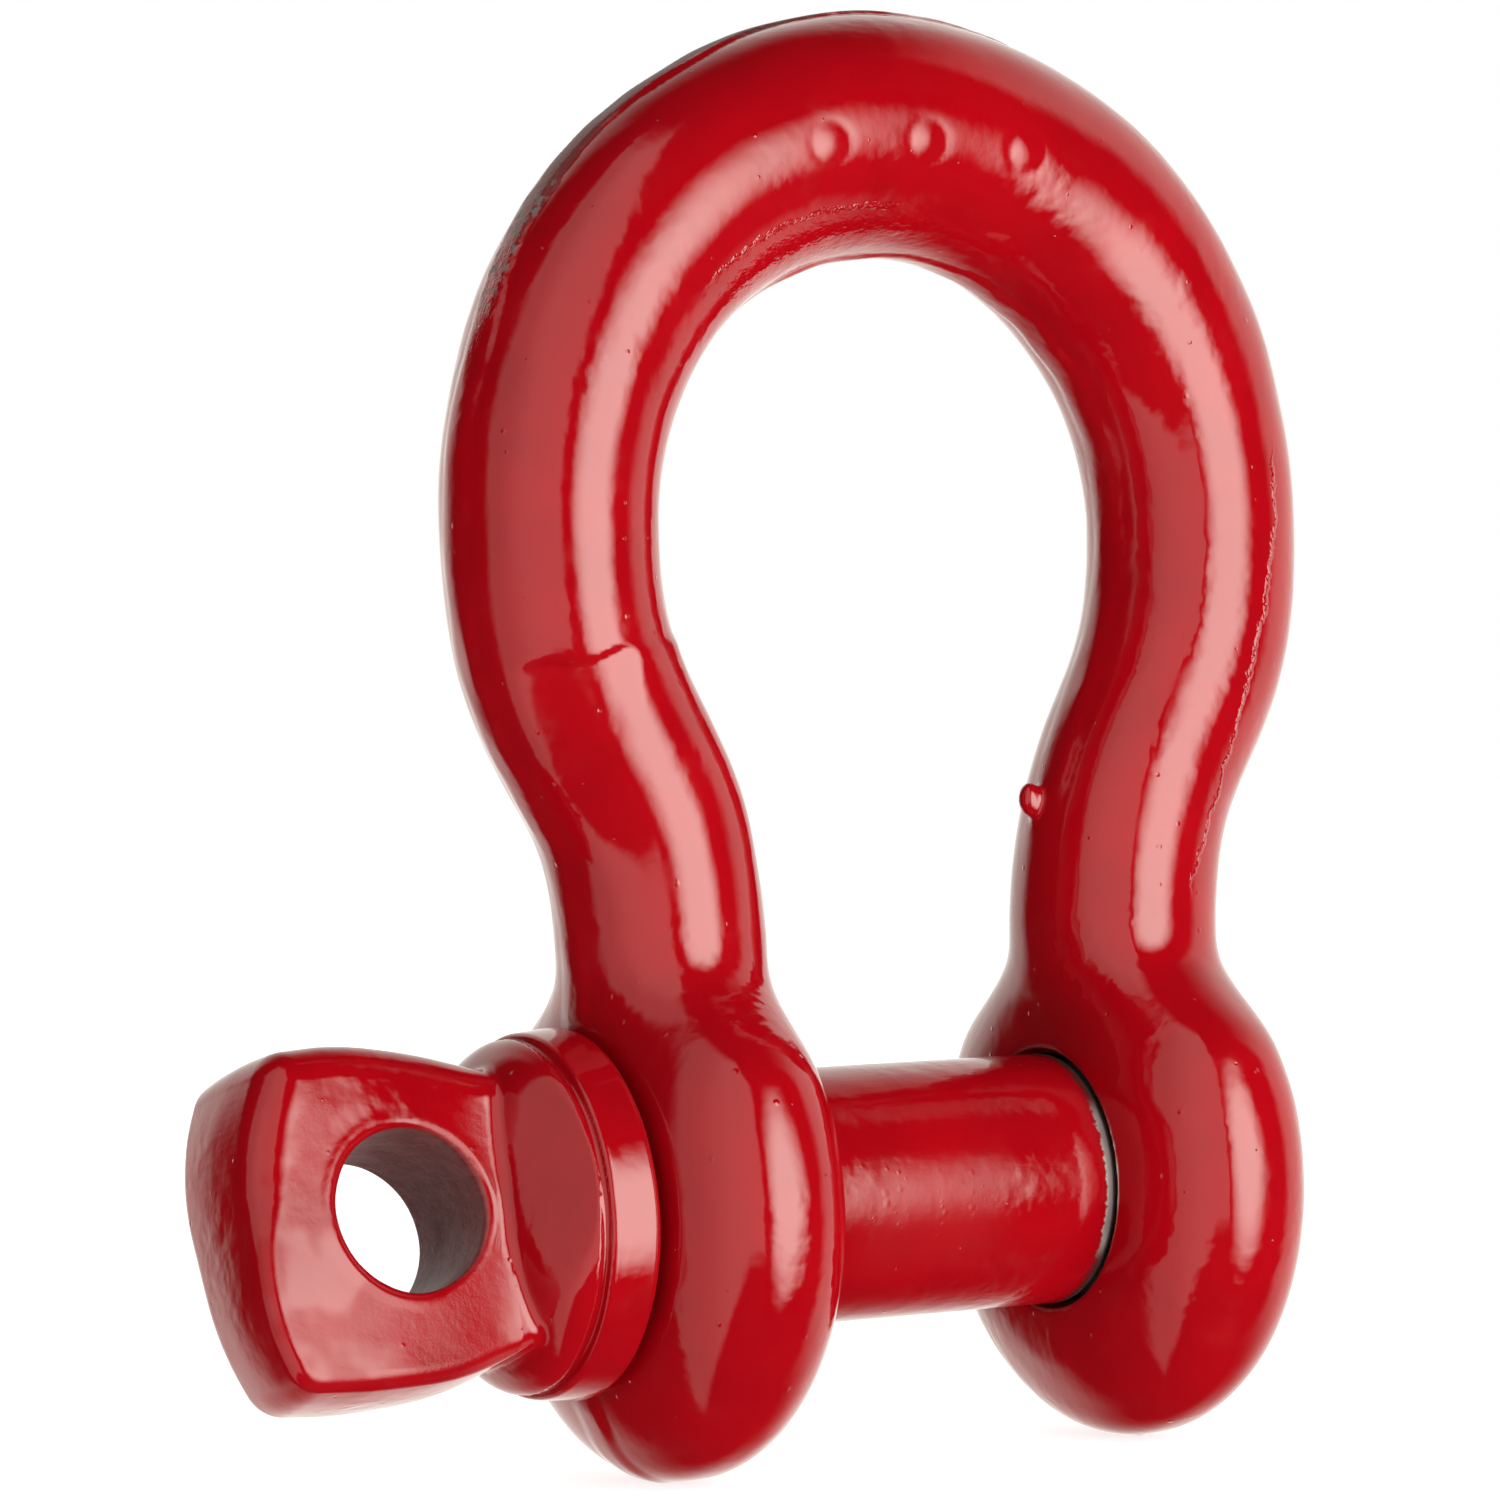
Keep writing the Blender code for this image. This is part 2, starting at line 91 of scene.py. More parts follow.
# from the pin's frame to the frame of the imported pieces
bow_lo, bow_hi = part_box("bow")
pin_lo, pin_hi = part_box("screw_pin")
SHIFT = np.array([(bow_lo.x + bow_hi.x) / 2 / MM, 0.0, (pin_lo.z + pin_hi.z) / 2 / MM])


# ---- numeric helpers ---------------------------------------------------------
def ease(start, end, value):
    """Smooth rise from 0 at start to 1 at end; start may be the larger."""
    t = np.clip((value - start) / (end - start), 0.0, 1.0)
    return t * t * (3 - 2 * t)


def soft_max(first, second, blend):
    t = np.maximum(blend - np.abs(first - second), 0) / blend
    return np.maximum(first, second) + t * t * blend / 4


def soft_min(first, second, blend):
    return -soft_max(-first, -second, blend)


def rounded(first, second, radius):
    """Distance to the corner first < 0, second < 0, rounded with the radius."""
    a, b = first + radius, second + radius
    outside = np.hypot(np.maximum(a, 0), np.maximum(b, 0))
    return np.minimum(np.maximum(a, b), 0) + outside - radius


def lens(along, rho, half_length, radius):
    """Distance to a superellipse of revolution, near enough."""
    power = LENS_POWER
    a, b = along / half_length + 1e-6, rho / radius + 1e-6
    level = (a**power + b**power) ** (1 / power)
    slope = (np.hypot(a ** (power - 1) / half_length, b ** (power - 1) / radius)
             * level ** (1 - power))
    return (level - 1) / np.maximum(slope, 1e-3)


def thread_wave(x, turn, start, end):
    """Height of a thread, 0 to 1, fading in and out over 1.6 mm at its ends."""
    wave = np.clip(np.cos(2 * math.pi * (x / PITCH - turn)) * 1.25, -1, 1)
    return (wave + 1) / 2 * ease(start, start + 1.6, x) * (1 - ease(end - 1.6, end, x))


class Waves:
    """Seeded smooth unevenness, about -1 to 1: plane waves of mixed direction."""

    def __init__(self, seed, wavelength, count=9):
        draw = np.random.default_rng(seed)
        direction = draw.normal(size=(count, 3))
        direction /= np.linalg.norm(direction, axis=1)[:, None]
        lengths = wavelength * draw.uniform(0.7, 1.5, (count, 1))
        self.waves = direction * (2 * math.pi / lengths)
        self.phases = draw.uniform(0, 2 * math.pi, count)

    def __call__(self, x, y, z):
        total = 0
        for (kx, ky, kz), phase in zip(self.waves, self.phases):
            total = total + np.sin(kx * x + ky * y + kz * z + phase)
        return total / (len(self.phases) ** 0.5 * 1.3)


def plane_grid(low, high, step):
    """Shape and points of a grid on a plane."""
    axes = [np.arange(a, b, step) for a, b in zip(low, high)]
    first, second = np.meshgrid(*axes, indexing="ij")
    return first.shape, np.c_[first.ravel(), second.ravel()]


class PlaneTable:
    """Values on a plane grid, read linearly between its points."""

    def __init__(self, low, step, values):
        self.low, self.step, self.values = low, step, values

    def __call__(self, first, second):
        table = self.values
        a = np.clip((first - self.low[0]) / self.step, 0, table.shape[0] - 1.001)
        b = np.clip((second - self.low[1]) / self.step, 0, table.shape[1] - 1.001)
        i, j = a.astype(np.int32), b.astype(np.int32)
        a, b = a - i, b - j
        return ((table[i, j] * (1 - a) + table[i + 1, j] * a) * (1 - b)
                + (table[i, j + 1] * (1 - a) + table[i + 1, j + 1] * a) * b)


# ---- meshing -----------------------------------------------------------------
def sample(form, low, high, step):
    """The form on a grid, exact near the surface and only its sign elsewhere."""
    block = 8
    counts = [math.ceil((b - a) / step / block) * block + 1 for a, b in zip(low, high)]
    axes = [a + step * np.arange(count) for a, count in zip(low, counts)]
    middles = [a + step * (block * np.arange((count - 1) // block) + block / 2)
               for a, count in zip(low, counts)]
    coarse = form(*np.meshgrid(*middles, indexing="ij"))
    value = np.ones(counts, np.float32)
    value[:-1, :-1, :-1] = coarse.repeat(block, 0).repeat(block, 1).repeat(block, 2)
    near = np.argwhere(np.abs(coarse) < 1.5 * math.sqrt(3) / 2 * block * step)
    offsets = np.arange(block + 1)
    filler = np.zeros([block + 1] * 3)
    for start in range(0, len(near), 1500):
        corner = near[start:start + 1500] * block
        i, j, k = (corner[:, axis, None] + offsets for axis in range(3))
        cells = i[:, :, None, None], j[:, None, :, None], k[:, None, None, :]
        value[cells] = form(*(axis[cell] + filler for axis, cell in zip(axes, cells)))
    return value


def crossed_cells(value):
    """Cells the surface passes through, and the mean of its crossings with their edges."""
    inside = value < 0
    spans = [count - 1 for count in value.shape]
    corners = list(itertools.product((0, 1), repeat=3))
    filled = np.zeros(spans, np.int8)
    for i, j, k in corners:
        filled += inside[i:i + spans[0], j:j + spans[1], k:k + spans[2]]
    active = np.argwhere((filled > 0) & (filled < 8))
    total = np.zeros((len(active), 3))
    count = np.zeros(len(active))
    for corner in corners:
        for axis in range(3):
            if corner[axis]:
                continue
            other = list(corner)
            other[axis] = 1
            start = value[tuple((active + corner).T)].astype(float)
            end = value[tuple((active + other).T)].astype(float)
            hit = (start < 0) != (end < 0)
            point = np.array(corner, float) + np.zeros((len(active), 3))
            point[:, axis] += np.where(hit, start / np.where(hit, start - end, 1), 0)
            total[hit] += point[hit]
            count[hit] += 1
    return active, active + total / count[:, None]


def cell_quads(inside, active):
    """A quad round each crossed grid edge, joining the vertices of its four cells."""
    number = np.full([count - 1 for count in inside.shape], -1, np.int64)
    number[tuple(active.T)] = np.arange(len(active))
    quads = []
    for axis in range(3):
        others = [(axis + 1) % 3, (axis + 2) % 3]
        near, far = [slice(1, -1)] * 3, [slice(1, -1)] * 3
        near[axis], far[axis] = slice(0, -1), slice(1, None)
        starts, ends = inside[tuple(near)], inside[tuple(far)]
        edges = np.argwhere(starts != ends)
        outward = starts[tuple(edges.T)]
        edges[:, others] += 1
        ring = []
        for shift in ((-1, -1), (0, -1), (0, 0), (-1, 0)):
            cell = edges.copy()
            cell[:, others] += shift
            ring.append(number[tuple(cell.T)])
        ring = np.stack(ring, 1)
        ring[~outward] = ring[~outward][:, ::-1]
        quads.append(ring)
    return np.vstack(quads)


def gradient(form, points, reach=0.03):
    slopes = np.empty_like(points)
    for axis in range(3):
        offset = np.zeros(3)
        offset[axis] = reach
        slopes[:, axis] = (form(*(points + offset).T) - form(*(points - offset).T)) / (2 * reach)
    return slopes


def surface(form, low, high, step):
    """Points, quads and normals of the surface: a vertex per crossed cell, moved onto it."""
    value = sample(form, low, high, step)
    active, places = crossed_cells(value)
    quads = cell_quads(value < 0, active)
    points = places * step + np.array(low)
    for _ in range(4):
        slopes = gradient(form, points)
        steep = np.maximum((slopes * slopes).sum(1), 0.05)
        move = (form(*points.T) / steep)[:, None] * slopes
        size = np.linalg.norm(move, axis=1)[:, None]
        points -= move * np.minimum(1, 0.45 * step / np.maximum(size, 1e-9))
    slopes = gradient(form, points)
    normals = slopes / np.maximum(np.linalg.norm(slopes, axis=1), 1e-9)[:, None]
    return points, quads, normals


def forging(piece, form, low, high, step):
    """Meshes a form as the looks of one CAD piece."""
    points, quads, normals = surface(form, low, high, step)
    name = piece + "_forging"
    mesh = bpy.data.meshes.new(name)
    mesh.vertices.add(len(points))
    mesh.vertices.foreach_set("co", ((points + SHIFT) * MM).astype(np.float32).ravel())
    mesh.loops.add(quads.size)
    mesh.loops.foreach_set("vertex_index", quads.astype(np.int32).ravel())
    mesh.polygons.add(len(quads))
    mesh.polygons.foreach_set("loop_start", np.arange(0, quads.size, 4, dtype=np.int32))
    mesh.polygons.foreach_set("use_smooth", np.ones(len(quads), bool))
    mesh.update(calc_edges=True)
    mesh.validate()
    # the normals only fit if validation kept every vertex
    if len(mesh.vertices) == len(normals):
        mesh.normals_split_custom_set_from_vertices(normals.astype(np.float32))
    made = bpy.data.objects.new(name, mesh)
    bpy.context.scene.collection.objects.link(made)
    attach(made, piece)
    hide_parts(piece)
    return made


# ---- bow ---------------------------------------------------------------------
def hermite(start, start_pull, end, end_pull, count):
    t = np.linspace(0, 1, count, endpoint=False)[:, None]
    return ((2 * t**3 - 3 * t**2 + 1) * start + (t**3 - 2 * t**2 + t) * start_pull
            + (-2 * t**3 + 3 * t**2) * end + (t**3 - t**2) * end_pull)


def bow_line():
    """The +X half of the centre line as (x, z), from below the eye to past the crown."""
    pull = (BELLY_Z - NECK_Z) * LEG_PULL
    eye, neck = np.array([EYE_X, 0.]), np.array([NECK_X, NECK_Z])
    belly = np.array([BELLY_X, BELLY_Z])
    angle = np.linspace(0, math.pi / 2 * 1.25, 600)
    return np.vstack([
        np.c_[np.full(40, EYE_X), np.linspace(-40, 0, 40, endpoint=False)],
        hermite(eye, np.array([0., NECK_Z * .9]),
                neck, np.array([.02 * NECK_Z, NECK_Z * .9]), 160),
        hermite(neck, np.array([.02 * pull, pull]), belly, np.array([0., pull]), 400),
        np.c_[BELLY_X * np.cos(angle), BELLY_Z + (CROWN_Z - BELLY_Z) * np.sin(angle)]])


def bow_tables():
    """Height of the nearest point of the centre line, and the distance from it, outward positive."""
    line = bow_line()
    low, step = (-2.0, -32.0), 0.5
    shape, points = plane_grid(low, (56, 126), step)
    tangents = np.gradient(line, axis=0)
    tangents /= np.linalg.norm(tangents, axis=1)[:, None]
    foot, off = np.empty(len(points)), np.empty(len(points))
    for start in range(0, len(points), 20000):
        part = slice(start, start + 20000)
        point = points[part]
        distance = ((point[:, None, :] - line[None]) ** 2).sum(-1)
        nearest = np.clip(distance.argmin(1), 1, len(line) - 2)
        # refine between samples along the tangent
        tangent = tangents[nearest]
        ahead = ((point - line[nearest]) * tangent).sum(1)
        base = line[nearest] + tangent * ahead[:, None]
        foot[part] = base[:, 1]
        away = point - base
        off[part] = away[:, 0] * tangent[:, 1] - away[:, 1] * tangent[:, 0]
    return (PlaneTable(low, step, values.reshape(shape)) for values in (foot, off))


FOOT, OFF = bow_tables()
wave_long, wave_mid, wave_fine = Waves(3, 34), Waves(5, 15), Waves(8, 6.5)


def bar_size(foot):
    """Half sizes of the bar where its centre line is at this height."""
    to_belly, to_crown = ease(NECK_Z, BELLY_Z, foot), ease(BELLY_Z, CROWN_Z, foot)
    return [neck + (belly - neck) * to_belly + (crown - belly) * to_crown
            for neck, belly, crown in zip(BAR_NECK, BAR_BELLY, BAR_CROWN)]


def bow_body(x, y, z, foot, off):
    """Bar and eye, blended over the neck."""
    thick, wide = bar_size(np.maximum(foot, 0))
    # across the bow's plane the eye runs into the bar
    eye_wide = np.sqrt(soft_max(EYE_R**2 - np.maximum(foot, 0) ** 2, 60.0, 260.0))
    wide = soft_max(wide + (eye_wide - wide) * (1 - ease(13, 30, foot)), wide, 3.0)
    level = np.sqrt((off / thick) ** 2 + (y / wide) ** 2) + 1e-9
    bar = (level - 1) * level / np.sqrt((off / thick**2) ** 2 + (y / wide**2) ** 2 + 1e-12)
    rho = np.hypot(y * soft_max(eye_wide / wide, 1.0, 0.12), z)
    eye = lens(np.abs(np.abs(x) - EYE_X), rho, EYE_CROWN, EYE_R)
    share = ease(7.0, 27.0, foot)
    return eye * (1 - share) + bar * share


def flash(x, y, z, foot, off):
    """Height of the trimmed flash round the middle plane, outside and inside the bow."""
    thick = bar_size(np.maximum(foot, 0))[0]
    edge = y + 0.5 * np.sin(x * 0.17 + z * 0.11) + 0.25 * np.sin(x * 0.61 - z * 0.53)
    crest = ease(70, 100, z)        # sharper over the crown, nearly dressed away below
    band = 1 - ease(0.9 + 0.6 * crest, 3.4 - 0.9 * crest, np.abs(edge))
    begin = np.where(off < 0, 26, 12)
    rim = (ease(0.35, 0.8, np.abs(off) / thick) * ease(begin, begin + 14, foot)
           + ease(17, 20, np.hypot(y, z)) * (1 - ease(12, 30, foot)) * (off > 0))
    return (0.22 + 0.12 * crest + 0.06 * wave_fine(x, y, z)) * band * rim


def eye_hole(x, y, z):
    """Distance outward from the wall of the plain (-X) or threaded (+X) hole."""
    rho = np.hypot(y, z)
    turn = np.arctan2(z, y) / (2 * math.pi)
    crest = MOUTH_R - MOUTH_DROP * ease(GAP / 2 + 0.8, GAP / 2 + MOUTH_L + 0.9, x)
    thread = thread_wave(x, turn, GAP / 2 + MOUTH_L + 0.7, GAP / 2 + EYE_T - 1.2)
    return np.where(x < 0, rho - CLEAR_R, rho - (crest + TAP_DEPTH * thread))


def bow_form(x, y, z):
    x = x + 0.2 * ease(14, 42, z)
    # below the ledge the front of the head-side leg sits a little toward +X
    x = x - (0.6 * (1 - ease(-0.9, 0.9, z - 0.17 * x - 61.7)) * ease(24, 44, z)
             * ease(-5, -9.5, y) * (x < 0))
    foot, off = FOOT(np.abs(x), z), OFF(np.abs(x), z)
    form = bow_body(x, y, z, foot, off)

    # slimmer legs, and forging unevenness that grows above the eyes
    up = ease(8, 30, foot)
    form = (form + 0.2 * ease(20, 45, z) * (1 - ease(92, 106, foot))
            + 0.15 * wave_long(x, y, z)
            + (0.02 + 0.035 * up) * wave_mid(x, y, z)
            + 0.012 * up * wave_fine(x, y, z))

    # shallow ledge across the front of the head-side leg, dying out downwards
    ledge = z - 0.17 * x - 61.7 + 0.35 * wave_fine(x, y, z)
    form = form + (0.30 * (1 - ease(-0.45, 0.45, ledge)) * ease(-11, -1.5, ledge)
                   * ease(-5, -9, y) * ease(-47, -43.5, x) * ease(-35.5, -38.5, x))
    form = form - flash(x, y, z, foot, off)

    # low round pips on the front of the crown, each in a faint dish
    for pip_x, pip_z in PIPS:
        away = np.sqrt((x - pip_x) ** 2 + (z - pip_z) ** 2)
        pip = 0.11 * np.exp(-(away / 1.25) ** 2)
        dish = 0.045 * np.exp(-((away - 2.1) / 0.65) ** 2)
        form = form - np.where(y < 0, pip - dish, 0)

    # flats round both holes, then the holes
    flat = np.abs(np.abs(x) - EYE_X) - EYE_T / 2
    form = soft_max(form, -soft_max(0.4 * (np.hypot(y, z) - FLAT_R), -flat, 0.6), 1.0)
    form = soft_max(form, -eye_hole(x, y, z), 0.9)

    # hardened drip of paint on the inside of the thread-side leg
    drip = np.sqrt((x - DRIP[0]) ** 2 + (y - DRIP[1]) ** 2 + ((z - DRIP[2]) / 1.5) ** 2) - 1.15
    return soft_min(form, drip, 1.1)


# ---- screw pin ---------------------------------------------------------------
def tab_outline():
    """Outline of the flat head as (x, width), both ways from the pin's axis."""
    upper = [(COLLAR_X1 + 1.7 - t * 24.0, 12.1 + 5.2 * math.sin(t * math.pi / 2))
             for t in np.linspace(0, 1, 30)]
    corner_x, corner_width, corner_r = -70.4, 12.9, 4.2
    upper += [(corner_x + corner_r * math.cos(angle), corner_width + corner_r * math.sin(angle))
              for angle in np.radians(np.linspace(92, 160, 24))]
    end_x, end_width = upper[-1]
    upper += [(TAB_END_X + (end_x - TAB_END_X) * (width / end_width) ** 2.6, width)
              for width in np.linspace(end_width, 0, 20)[1:]]
    # the lower side is a little fuller
    lower = [(x, -width - 0.5 * math.exp(-((x + 56) / 6) ** 2)) for x, width in upper[:-1]]
    return np.array(upper + lower[::-1])


def outline_table():
    """Signed distance to the flat head's outline, in its own plane."""
    outline = tab_outline()
    low, step = (-84.0, -22.0), 0.25
    shape, points = plane_grid(low, (-36, 22), step)
    best = np.full(len(points), 1e9)
    inside = np.zeros(len(points), bool)
    for i, end in enumerate(outline):
        start = outline[i - 1]
        edge, away = end - start, points - start
        t = np.clip((away @ edge) / max(edge @ edge, 1e-12), 0, 1)
        gap = away - t[:, None] * edge
        best = np.minimum(best, (gap * gap).sum(1))
        spans = (start[1] <= points[:, 1]) != (end[1] <= points[:, 1])
        cross = edge[0] * away[:, 1] - edge[1] * away[:, 0]
        inside ^= spans & ((cross > 0) == (end[1] > start[1]))
    distance = np.sqrt(best) * np.where(inside, -1, 1)
    return PlaneTable(low, step, distance.reshape(shape))


OUTLINE = outline_table()


def flat_head(x, depth, width):
    """The flat head; depth runs across its thickness, front positive."""
    part = depth / (TAB_T / 2)
    lean = width * (0.03 + 0.06 * part) * ease(-64, -74, x)
    edge = TAB_EDGE + 1.0 * np.tanh(width * depth / 24)
    toe = np.maximum(CREASE_X + 0.045 * width - x, 0)    # distance out from the shoulder's foot
    half = (TAB_T / 2 - 0.6
            + 0.075 * soft_min(np.maximum(-50 - x, 0), 13.0, 7.0)             # swells outward
            - 0.36 * ease(-63, -77, x)                                        # thins at the end
            - 0.25 * ease(-4, -15, width) - 0.2 * ease(10, 16, width)         # and at both sides
            + 0.30 * np.exp(-toe / 1.1))                                      # fillet at the foot
    tab = rounded(OUTLINE(x - lean, width) + 0.6 * part**2, np.abs(depth) - half, edge)
    return np.maximum(tab, x - COLLAR_X1 - 1)


def pin_head(x, rho, depth, width, body):
    """Adds the flat head to the body, with the groove and the cross hole."""
    head = soft_min(body, flat_head(x, depth, width), 1.1)
    # groove behind the collar's rim
    head = soft_max(head, 0.42 - np.hypot(x - COLLAR_X1 + 0.2, rho - 17.5), 0.35)
    # uneven bead round the cross hole
    hole = np.hypot(x - HOLE_X, width) - HOLE_R
    bead = (np.exp(-((hole - 1.1) / 0.55) ** 2)
            * (0.5 + 0.5 * np.sin(2.6 * np.arctan2(width, x - HOLE_X) + 1.0)))
    head = head - np.where(hole > -1, 0.16 * bead, 0)
    return soft_max(head, -(hole + 0.05 * wave_fine(x, depth, width)), 0.9)


def pin_form(x, y, z):
    rho = np.hypot(y, z)
    depth = -y * TURN_COS + z * TURN_SIN     # across the head's thickness, front positive
    width = y * TURN_SIN + z * TURN_COS

    form = rounded(rho - PIN_R - 0.25, np.maximum(x - SHANK_END - 1.0, -42 - x), 0.4)
    # collar, tapering slightly toward its shank face
    middle, half = (COLLAR_X0 + COLLAR_X1) / 2, (COLLAR_X0 - COLLAR_X1) / 2
    rim = rho - COLLAR_R + 0.085 * (COLLAR_X0 - x)
    form = soft_min(form, rounded(rim, np.abs(x - middle) - half, 0.9), 0.4)
    # domed neck with a sloped shoulder on both sides
    dome = lens(np.maximum(COLLAR_X1 - x, 0), rho, DOME_L, DOME_R)
    dome = np.maximum(dome, x - COLLAR_X1 - 1)
    shoulder = (-math.sin(SLOPE) * (x - CREASE_X - 0.045 * width)
                + math.cos(SLOPE) * (np.abs(depth) - TAB_T / 2))
    form = soft_min(form, soft_max(dome, shoulder, 0.7), 0.5)

    form = np.where(x < COLLAR_X1 + 2, pin_head(x, rho, depth, width, form), form)
    rough = 0.05 * wave_mid(x, y, z) + 0.012 * wave_fine(x, y, z)
    form = form + np.where(x < COLLAR_X0, rough, 0)

    # threaded tail with a chamfered tip
    turn = np.arctan2(z, y) / (2 * math.pi)
    thread = thread_wave(x, turn, THREAD_X0, THREAD_X1)
    radius = THREAD_ROOT_R + (THREAD_CREST_R - THREAD_ROOT_R) * thread
    tail = np.maximum(rho - radius, np.maximum(x - TIP_X, 10 - x))
    chamfer = (rho + x - (THREAD_ROOT_R + TIP_X) + 1.0) * 0.707
    return np.minimum(form, soft_max(tail, chamfer, 0.4))


bow = forging("bow", bow_form, (-51.5, -29, -29), (51.5, 29, 122), BOW_STEP)
pin = forging("screw_pin", pin_form, (-81, -19.6, -19.6), (41, 19.6, 19.6), PIN_STEP)


# ---- shader maths ------------------------------------------------------------
def operator(kind, swap=False):
    def apply(self, other):
        pair = (other, self) if swap else (self, other)
        return self.shader.math(kind, *pair)
    return apply


class Value:
    """A node output; arithmetic on it adds Math nodes to its shader."""

    __add__, __radd__ = operator("ADD"), operator("ADD", swap=True)
    __sub__, __rsub__ = operator("SUBTRACT"), operator("SUBTRACT", swap=True)
    __mul__ = operator("MULTIPLY")
    __truediv__ = operator("DIVIDE")
    __pow__ = operator("POWER")
    max = operator("MAXIMUM")
    min = operator("MINIMUM")

    def __init__(self, shader, socket):
        self.shader, self.socket = shader, socket

    def __abs__(self):
        return self.shader.math("ABSOLUTE", self)

    def step(self, start, end):
        """Smooth rise from 0 at start to 1 at end, or a fall to the left of start if end < start."""
        rises = start < end
        low, high = (start, end) if rises else (end, start)
        return self.shader.node(
            "MapRange", {"Value": self, "From Min": low, "From Max": high,
                         "To Min": 0.0 if rises else 1.0, "To Max": 1.0 if rises else 0.0},
            "Result", interpolation_type="SMOOTHSTEP")

    def band(self, low, high, soft):
        """1 between low and high, with edges twice as wide as soft."""
        return self.step(low - soft, low + soft) * self.step(high + soft, high - soft)

    def peak(self, reach):
        """1 where the value is 0, falling to 0 at the reach."""
        return self.shader.math("SUBTRACT", 1.0, self / reach, clamp=True)


def hypot(first, second):
    return first.shader.math("SQRT", first * first + second * second)


class Shader:
    """Adds nodes to a node tree."""

    def __init__(self, tree):
        self.tree = tree

    def put(self, socket, value):
        if isinstance(value, Value):
            self.tree.links.new(value.socket, socket)
        elif socket.type == "RGBA":
            socket.default_value = (*value, 1.0)
        else:
            socket.default_value = value

    def node(self, kind, inputs, *outputs, **settings):
        """A new node's first output, or the named one or ones."""
        made = self.tree.nodes.new("ShaderNode" + kind)
        for name, setting in settings.items():
            setattr(made, name, setting)
        for key, value in inputs.items():
            self.put(made.inputs[key], value)
        values = [Value(self, made.outputs[key]) for key in outputs or (0,)]
        return values if len(values) > 1 else values[0]

    def math(self, kind, first, second=0.0, third=0.0, clamp=False):
        inputs = {0: first, 1: second, 2: third}
        return self.node("Math", inputs, operation=kind, use_clamp=clamp)

    def scaled(self, vector, scale, offset):
        return self.node("VectorMath", {0: vector, 1: scale, 2: offset},
                         operation="MULTIPLY_ADD")

    def dot(self, vector, direction):
        return self.node("VectorMath", {0: vector, 1: direction}, "Value",
                         operation="DOT_PRODUCT")

    def mix(self, mask, under, upper):
        """Blend of two colours."""
        return self.node("Mix", {"Factor": mask, 6: under, 7: upper}, 2, data_type="RGBA")

    def lerp(self, mask, under, upper):
        """Blend of two numbers."""
        return self.node("Mix", {"Factor": mask, 2: under, 3: upper}, 0, data_type="FLOAT")


# ---- enamel ------------------------------------------------------------------
RED, RED_DEEP = (0.255, 0.0010, 0.0040), (0.225, 0.0008, 0.0036)
STEEL, MAROON = (0.55, 0.53, 0.51), (0.10, 0.006, 0.008)
BORE_DARK, CHIPPED = (0.03, 0.010, 0.010), (0.16, 0.12, 0.11)
WORN_RED, THREAD_STEEL = (0.09, 0.008, 0.009), (0.10, 0.09, 0.085)
FILM_DARK, FILM_PALE = (0.095, 0.010, 0.011), (0.15, 0.032, 0.030)
GLOSS, HANDLED_GLOSS = 0.5, 0.28


class Enamel(Shader):
    """Glossy red paint with ripple, nibs and pits; sizes and height are mm in the pin's frame."""

    def __init__(self, tree):
        super().__init__(tree)
        self.place = self.scaled(self.node("TexCoord", {}, "Object"),
                                 (1 / MM,) * 3, tuple(-SHIFT))
        self.x, self.y, self.z = self.node("SeparateXYZ", {0: self.place}, 0, 1, 2)
        tint = self.noise(11, detail=2, seed=3)
        self.ripple = self.noise(2.3, detail=1.5, seed=7)
        self.grain = self.noise(0.8, detail=3, rough=0.55, seed=1)
        # the ripple is strong in some areas and weak in others
        area = 0.35 + self.noise(13, detail=1, seed=21).step(0.42, 0.68) * 1.1
        nibs = self.spots(2.6, share=0.4, radius=0.28, seed=4)
        pits = self.spots(3.3, share=0.3, radius=0.2, seed=11)
        self.height = self.ripple * area * 0.075 + self.grain * 0.006
        self.height += nibs * 0.06 - pits * 0.07
        haze = self.noise(6, detail=4, rough=0.65, seed=12)
        self.rough = 0.07 + haze.step(0.5, 0.8) * 0.14
        self.colour = self.mix(tint.step(0.35, 0.7), RED, RED_DEEP)
        self.metal = 0.0
        self.gloss = GLOSS

    def noise(self, size, detail, rough=0.5, stretch=(1, 1, 1), seed=0.0, distort=0.0):
        place = self.scaled(self.place, tuple(axis / size for axis in stretch),
                            (seed, seed * 1.7, -seed))
        return self.node("TexNoise", {"Vector": place, "Scale": 1.0, "Detail": detail,
                                      "Roughness": rough, "Distortion": distort}, "Fac")

    def spots(self, spacing, share, radius, seed):
        """Scattered round spots, 1 in their middles, on a share of the cells."""
        place = self.scaled(self.place, (1 / spacing,) * 3, (seed, -seed, seed * 2.3))
        distance, colour = self.node(
            "TexVoronoi", {"Vector": place, "Scale": 1.0, "Randomness": 1.0},
            "Distance", "Color")
        pick, size = self.node("SeparateColor", {0: colour}, 0, 1)
        keep = pick.step(1 - share, 1 - share + 0.01)
        return keep * distance.peak((0.5 + size) * (radius / spacing))

    def cover(self, mask, colour, rough, metal=None):
        """Lays another finish over the enamel where the mask is 1."""
        self.colour = self.mix(mask, self.colour, colour)
        self.rough = self.lerp(mask, self.rough, rough)
        if metal is not None:
            self.metal = self.lerp(mask, self.metal, metal)

    def finish(self):
        bump = self.node("Bump", {"Strength": 1.0, "Distance": MM, "Height": self.height})
        surface_inputs = self.tree.nodes["Principled BSDF"].inputs
        for key, value in {
                "Base Color": self.colour, "Roughness": self.rough, "Metallic": self.metal,
                "Specular IOR Level": self.gloss, "Normal": bump, "IOR": 1.5}.items():
            self.put(surface_inputs[key], value)


